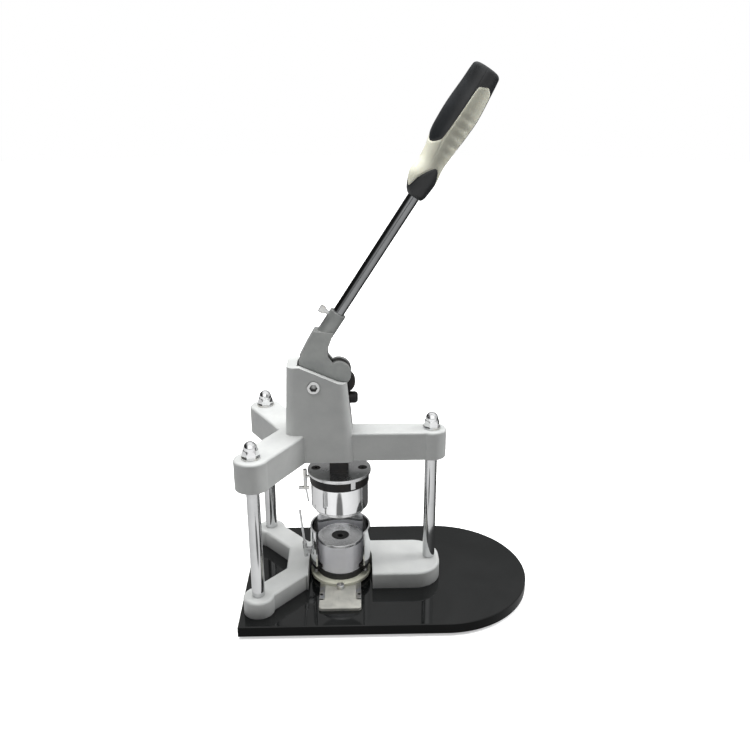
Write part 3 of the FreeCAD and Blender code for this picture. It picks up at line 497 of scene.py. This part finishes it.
def upper_edge(turn):
    """Lower edge of the dark end: two round tongues with steep sides."""
    away = from_middle(turn, TONGUE_TURN)
    beyond = away - TONGUE_HALF
    tip = 46.0 + 7.0 * min(away / 48.0, 1.0) ** 2
    side = 0.5 + 0.5 * math.tanh(beyond / 3.0)
    crown = 4.0 * max(beyond, 0.0) / (90.0 - TONGUE_HALF)
    return tip + TONGUE_SIDE * side + crown


def slant(edge, turn):
    """How much longer a step along the grip is than the shortest way to an edge."""
    step = math.radians(1.0)
    rise = edge(turn + step) - edge(turn - step)
    return math.hypot(1.0, rise / (2 * step * MEAN_RADIUS))


def ribs(s, turn):
    """Shallow finger grooves across the two light windows."""
    window = math.exp(-((from_middle(turn, TONGUE_TURN) - 90.0) / 30.0) ** 4)
    reach = math.exp(-((s - 62.0) / 19.0) ** 4)
    groove = (0.5 - 0.5 * math.cos(2 * math.pi * s / RIB_PITCH)) ** 3
    return -RIB_DEPTH * window * reach * groove


def grip_place(s, turn, inset=0.0):
    """A point of the grip: distance along, angle from the near side towards the left."""
    radius = spline(STATIONS, s, 1) + ribs(s, turn) - inset
    over = spline(STATIONS, s, 2)
    flat = 1.0 + 0.03 * math.cos(2 * turn)
    across = LEFT * math.sin(turn) + NEAR * math.cos(turn)
    middle = ROD_FOOT + ALONG * (GRIP_START + s) * MM + LEFT * over * MM
    return middle + across * radius * flat * MM


def dip(distance, depth=0.42, width=0.9):
    """Inset that rounds a skin off into its parting line."""
    return depth * math.exp(-(distance / width) ** 2)


def make_mesh(name, rings, finish, closed_ends):
    """Joins rings of points into a shell. Each ring is a list of places."""
    mesh = bmesh.new()
    rows = [[mesh.verts.new(p) for p in ring] for ring in rings]
    count = len(rows[0])
    for lower, upper in zip(rows, rows[1:]):
        for i in range(count):
            j = (i + 1) % count
            mesh.faces.new((lower[i], lower[j], upper[j], upper[i]))
    if closed_ends:
        mesh.faces.new(list(reversed(rows[0])))
        mesh.faces.new(rows[-1])
    else:
        first, last = rows[0], rows[-1]
        for i in range(count):
            j = (i + 1) % count
            mesh.faces.new((last[i], last[j], first[j], first[i]))
    bmesh.ops.recalc_face_normals(mesh, faces=mesh.faces)
    data = bpy.data.meshes.new(name)
    mesh.to_mesh(data)
    mesh.free()
    data.materials.append(FINISHES[finish])
    for face in data.polygons:
        face.use_smooth = True
    piece = bpy.data.objects.new(name, data)
    bpy.context.scene.collection.objects.link(piece)
    return piece


def grip_turns():
    """Angles round the grip, closer together where the tongues' sides run steeply."""
    degrees = {3.0 * i for i in range(120)}
    for side in (-TONGUE_HALF, TONGUE_HALF, 180.0 - TONGUE_HALF, 180.0 + TONGUE_HALF):
        degrees |= {(TONGUE_TURN + side + 0.5 * step) % 360.0 for step in range(-16, 17)}
    return [math.radians(d) for d in sorted(degrees)]


def grip_band(name, start, stop, finish, rows):
    """A closed band of the grip between two wavy edges."""
    turns = grip_turns()
    outer = []
    for r in range(rows + 1):
        t = 0.5 - 0.5 * math.cos(math.pi * r / rows)
        ring = []
        for turn in turns:
            s0, s1 = start(turn), stop(turn)
            s = s0 + (s1 - s0) * t
            inset = dip((s - s0) / slant(start, turn)) + dip((s1 - s) / slant(stop, turn))
            ring.append(grip_place(s, turn, inset))
        outer.append(ring)
    inner = []
    for edge in (stop, start):
        inner.append([grip_place(edge(turn), turn, SKIN) for turn in turns])
    return make_mesh(name, outer + inner, finish, False)


def grip_end(name):
    """The dark upper skin: tongues, barrel and a softly domed end with a hanging dimple."""
    turns = grip_turns()
    rings = [[grip_place(upper_edge(turn), turn, SKIN) for turn in turns]]
    for r in range(END_ROWS + 1):
        t = 0.5 - 0.5 * math.cos(math.pi * r / END_ROWS)
        ring = []
        for turn in turns:
            s0 = upper_edge(turn)
            s = s0 + (GRIP_LENGTH - END_ROUND - s0) * t
            ring.append(grip_place(s, turn, dip((s - s0) / slant(upper_edge, turn))))
        rings.append(ring)
    for step in range(1, 9):
        a = math.pi / 2 * step / 8
        s = GRIP_LENGTH - END_ROUND + END_ROUND * math.sin(a)
        rings.append([grip_place(s, turn, END_ROUND * (1 - math.cos(a))) for turn in turns])
    last = spline(STATIONS, GRIP_LENGTH, 1)
    # Share of the radius and depth below the end, across the end face and into its dimple
    for share, sink in ((0.62, 0.15), (0.45, 0.25), (0.40, 0.9), (0.33, 1.5), (0.15, 1.7),
                        (0.02, 1.75)):
        rings.append([grip_place(GRIP_LENGTH - sink, turn, last * (1 - share)) for turn in turns])
    return make_mesh(name, rings, "grip_black", True)


def grip_nose(name):
    """The dark lower skin, closed round the rod."""
    turns = grip_turns()
    rings = []
    start_r = spline(STATIONS, 0.0, 1)
    for share in (0.79, 0.84, 0.92):
        rings.append([grip_place(0.0, turn, start_r * (1 - share)) for turn in turns])
    for r in range(NOSE_ROWS + 1):
        t = r / NOSE_ROWS
        ring = []
        for turn in turns:
            s1 = lower_edge(turn)
            s = s1 * t
            ring.append(grip_place(s, turn, dip(s1 - s)))
        rings.append(ring)
    rings.append([grip_place(lower_edge(turn), turn, SKIN) for turn in turns])
    return make_mesh(name, rings, "grip_black", False)


def add_grip():
    """Replaces the three CAD pieces of the grip and ties the new ones to the lever."""
    core = grip_band("grip_light_core", lower_edge, upper_edge, "grip_cream", CORE_ROWS)
    upper = grip_end("grip_dark_end")
    lower = grip_nose("grip_dark_nose")
    for piece, node, slot in ((core, "grip_core", "grip_cream"),
                              (upper, "grip_upper_skin", "grip_black"),
                              (lower, "grip_lower_skin", "grip_black")):
        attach(piece, "lever")
        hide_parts(node)


# ---------------------------------------------------------------- springs

# Millimetres, with heights above the table
SPRING_CIRCLE = 26.0
SPRING_ANGLES = (90.0, 200.0, 340.0)
SPRING_FOOT = 18.35
SPRING_HEAD = 26.55
SPRING_R = 1.9
WIRE_R = 0.35
SPRING_TURNS = 4
STEPS_PER_TURN = 40


def coil(centre):
    """Rings of points along one round-wire coil."""
    height = SPRING_HEAD - SPRING_FOOT - 2 * WIRE_R
    steps = SPRING_TURNS * STEPS_PER_TURN
    around = 10
    up = Vector((0, 0, 1))
    rings = []
    for i in range(steps + 1):
        share = i / steps
        a = 2 * math.pi * SPRING_TURNS * share
        out = Vector((math.cos(a), math.sin(a), 0.0))
        point = centre + out * SPRING_R + up * (SPRING_FOOT + WIRE_R + height * share)
        rings.append([(point + (out * math.cos(b) + up * math.sin(b)) * WIRE_R) * MM
                      for b in (2 * math.pi * k / around for k in range(around))])
    return rings


def add_springs():
    """The three coils under the floating skirt."""
    for number, angle in enumerate(SPRING_ANGLES, 1):
        a = math.radians(angle)
        centre = Vector((math.cos(a), math.sin(a), 0.0)) * SPRING_CIRCLE
        piece = make_mesh("skirt_coil_%d" % number, coil(centre), "machined_steel", True)
        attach(piece, "die_carriage")
        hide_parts("skirt_springs")
        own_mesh(piece)


# ---------------------------------------------------------------- studio

# Brightness of the floor as plating sees it, by bearing: back, left, front, right, back
FLOOR_REFLECTION = [(0.0, 0.35), (0.12, 0.55), (0.30, 0.78), (0.42, 0.98), (0.58, 0.95),
                    (0.70, 0.72), (0.76, 0.06), (0.92, 0.04), (1.0, 0.35)]
# Brightness of the room by height, as plating sees it and as it lights the rest
ROOM_REFLECTION = [(0.0, 0.30), (0.25, 0.16), (0.45, 0.22), (0.75, 0.9), (1.0, 1.0)]
ROOM_LIGHT = [(0.0, 0.10), (0.35, 0.16), (1.0, 0.75)]
# Dark patch on the floor in front, seen only in plating: how far forward, and its half sizes, in metres
PATCH_FORWARD = 0.20
PATCH_HALF_WIDTH = 0.045
PATCH_HALF_DEPTH = 0.055
FLOOR_RADIUS = 6.0
# Just under the feet, so that the two don't share a plane
FLOOR_LEVEL = -0.0003
WHITE = (1.0, 1.0, 1.0)
CAMERA_PLACE = Vector((15.9, -685.4, 468.3)) * MM
CAMERA_LOOK = Vector((0.0256, 0.9417, -0.3356))
LENS = 37.69
SENSOR = 36.0


def add_floor():
    """Pale floor. White to the camera; plating sees it shaded, as in a real room."""
    bpy.ops.mesh.primitive_circle_add(vertices=96, radius=FLOOR_RADIUS, fill_type="NGON",
                                      location=(0, 0, FLOOR_LEVEL))
    floor = bpy.context.object
    floor.name = "studio_floor"
    g = Finish("floor")
    x, y, _ = g.split()
    away = g.from_axis()
    bearing = g.math("ARCTAN2", x, g.math("MULTIPLY", y, -1.0))
    # From the back round by the left, the front and the right to the back again
    room = g.ramp(g.spread(bearing, -math.pi, math.pi), FLOOR_REFLECTION)
    across = g.math("POWER", g.math("DIVIDE", x, PATCH_HALF_WIDTH), 2.0)
    ahead = g.math("ADD", y, PATCH_FORWARD)
    deep = g.math("POWER", g.math("DIVIDE", ahead, PATCH_HALF_DEPTH), 2.0)
    shadow = g.spread(g.math("ADD", across, deep), 0.6, 1.2, 0.15, 1.0)
    seen = g.math("MULTIPLY", room, shadow)
    path = g.add("ShaderNodeLightPath").outputs
    shade = g.blend(path["Is Diffuse Ray"], (0.90, 0.90, 0.90), (0.22, 0.22, 0.22))
    shade = g.blend(path["Is Glossy Ray"], shade, (0.02, 0.02, 0.02))
    glow = g.math("MULTIPLY", path["Is Camera Ray"], g.spread(away, 0.2, 1.3, 0.45, 1.2))
    glow = g.math("ADD", glow, g.math("MULTIPLY", path["Is Glossy Ray"], seen))
    g.finish(Base_Color=shade, Roughness=0.9, Specular_IOR_Level=0.0,
             Emission_Color=WHITE, Emission_Strength=glow)
    floor.data.materials.append(g.material)


def add_light(name, place, target, size, power):
    """A soft lamp that isn't seen in the plating."""
    light = bpy.data.lights.new(name, "AREA")
    light.shape = "RECTANGLE"
    light.size, light.size_y = size
    light.energy = power
    lamp = bpy.data.objects.new(name, light)
    lamp.location = place
    aim = Vector(target) - Vector(place)
    lamp.rotation_euler = aim.to_track_quat("-Z", "Y").to_euler()
    lamp.visible_glossy = False
    bpy.context.scene.collection.objects.link(lamp)


def add_world():
    """White to the camera; a plain room with soft windows to the plating; top light for the rest."""
    world = bpy.data.worlds.new("studio")
    bpy.context.scene.world = world
    world.use_nodes = True
    g = Graph(world.node_tree, "Generated")
    x, y, z = g.split()
    room = g.ramp(z, ROOM_REFLECTION)
    front = g.math("MULTIPLY", g.spread(y, -0.85, -0.35, 1.1, 0.0), g.spread(z, 0.02, 0.2))
    right = g.spread(x, 0.55, 0.9, 0.0, 0.35)
    left = g.spread(x, -0.8, -0.4, 0.12, 1.0)
    seen = g.math("MULTIPLY", g.math("ADD", g.math("ADD", room, front), right), left)
    path = g.add("ShaderNodeLightPath").outputs
    colour = g.blend(path["Is Glossy Ray"], g.ramp(z, ROOM_LIGHT), seen)
    colour = g.blend(path["Is Camera Ray"], colour, WHITE)
    g.feed(world.node_tree.nodes["Background"].inputs["Color"], colour)


def add_studio():
    """Floor, room, lamps and camera."""
    add_floor()
    add_world()
    add_light("top_softbox", (-0.15, 0.15, 1.55), (0.0, 0.0, 0.15), (1.2, 1.0), 34)
    add_light("left_softbox", (-1.35, -0.45, 0.75), (0.0, 0.0, 0.2), (0.5, 1.2), 3)
    add_light("right_softbox", (1.30, 0.20, 0.75), (0.0, 0.0, 0.2), (0.5, 1.2), 16)
    scene = bpy.context.scene
    scene.view_settings.view_transform = "Standard"
    camera = bpy.data.objects.new("camera", bpy.data.cameras.new("camera"))
    camera.data.sensor_width = SENSOR
    camera.data.lens = LENS
    camera.location = CAMERA_PLACE
    camera.rotation_euler = CAMERA_LOOK.to_track_quat("-Z", "Y").to_euler()
    camera.data.clip_start = 0.01
    camera.data.clip_end = 50.0
    scene.collection.objects.link(camera)
    scene.camera = camera


paint_cad_nodes()
add_grip()
add_springs()
add_studio()
